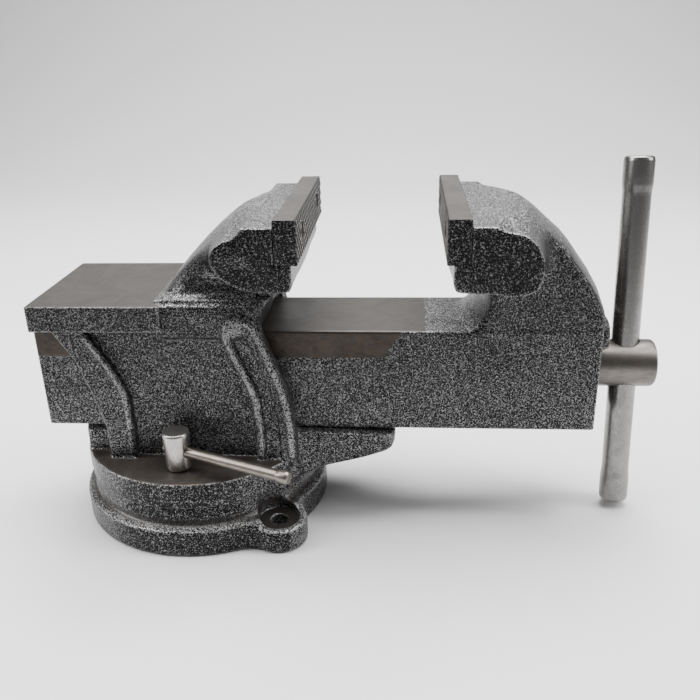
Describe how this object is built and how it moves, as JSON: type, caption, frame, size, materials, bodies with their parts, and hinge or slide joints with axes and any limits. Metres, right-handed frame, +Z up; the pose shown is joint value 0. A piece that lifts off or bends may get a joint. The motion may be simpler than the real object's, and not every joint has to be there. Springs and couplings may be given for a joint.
{
  "type": "bench vise",
  "caption": "Cast iron bench vise on a swivel base, with an anvil, replaceable steel jaw plates, a box slide and a lead screw turned by a sliding bar.",
  "frame": {"origin": "swivel axis on the flat underside of the base", "axes": "+X along the lead screw towards the handle, +Z up, +Y away from the side with the near lock bolt"},
  "size_m": [0.449, 0.207, 0.2614],
  "materials": {
    "casting": "hammered charcoal paint over cast iron",
    "jaw_steel": "ground, with a serrated face",
    "steel": "turned and brushed",
    "bright_steel": "turned, warm nickel tone",
    "dark_steel": "black oxide",
    "nut_iron": "raw casting with machined bore"
  },
  "bodies": {
    "base": {"swivel_base": "casting", "pivot_pin": "steel"},
    "swivel": {"fixed_body": "casting", "rear_jaw_plate": "jaw_steel", "rear_plate_screw_near": "dark_steel", "rear_plate_screw_far": "dark_steel", "main_nut": "nut_iron", "nut_bolt": "dark_steel", "near_lock_nut": "steel", "far_lock_nut": "steel"},
    "jaw": {"sliding_jaw": "casting", "front_jaw_plate": "jaw_steel", "front_plate_screw_near": "dark_steel", "front_plate_screw_far": "dark_steel", "thrust_washer": "steel", "spring_washer": "steel", "spindle_spring": "dark_steel"},
    "screw": {"lead_screw": "bright_steel", "retaining_collar": "steel", "collar_pin": "steel"},
    "handle": {"handle_bar": "steel"},
    "near_lock": {"near_lock_bolt": "bright_steel", "near_lock_bar": "bright_steel"},
    "far_lock": {"far_lock_bolt": "bright_steel", "far_lock_bar": "bright_steel"}
  },
  "joints": [
    {"name": "swivel_turn", "type": "hinge", "parent": "base", "child": "swivel", "pos_m": [0, 0, 0.036], "axis": [0, 0, 1], "continuous": true},
    {"name": "jaw_slide", "type": "slide", "parent": "swivel", "child": "jaw", "axis": [1, 0, 0], "range_m": [-0.0928, 0.057]},
    {"name": "screw_turn", "type": "hinge", "parent": "jaw", "child": "screw", "pos_m": [0.297, 0, 0.1125], "axis": [1, 0, 0], "range_deg": [-6680, 4100]},
    {"name": "handle_slide", "type": "slide", "parent": "screw", "child": "handle", "axis": [0, 0.134, 0.991], "range_m": [-0.108, 0.068]},
    {"name": "near_lock_turn", "type": "hinge", "parent": "swivel", "child": "near_lock", "pos_m": [-0.004, -0.064, 0.0556], "axis": [0, 0, 1], "range_deg": [-150, 25]},
    {"name": "far_lock_turn", "type": "hinge", "parent": "swivel", "child": "far_lock", "pos_m": [-0.004, 0.064, 0.0556], "axis": [0, 0, 1], "range_deg": [-25, 150]}
  ],
  "couplings": [
    {"joint": "jaw_slide", "follows": "screw_turn", "m_per_rad": 0.00079577}
  ]
}
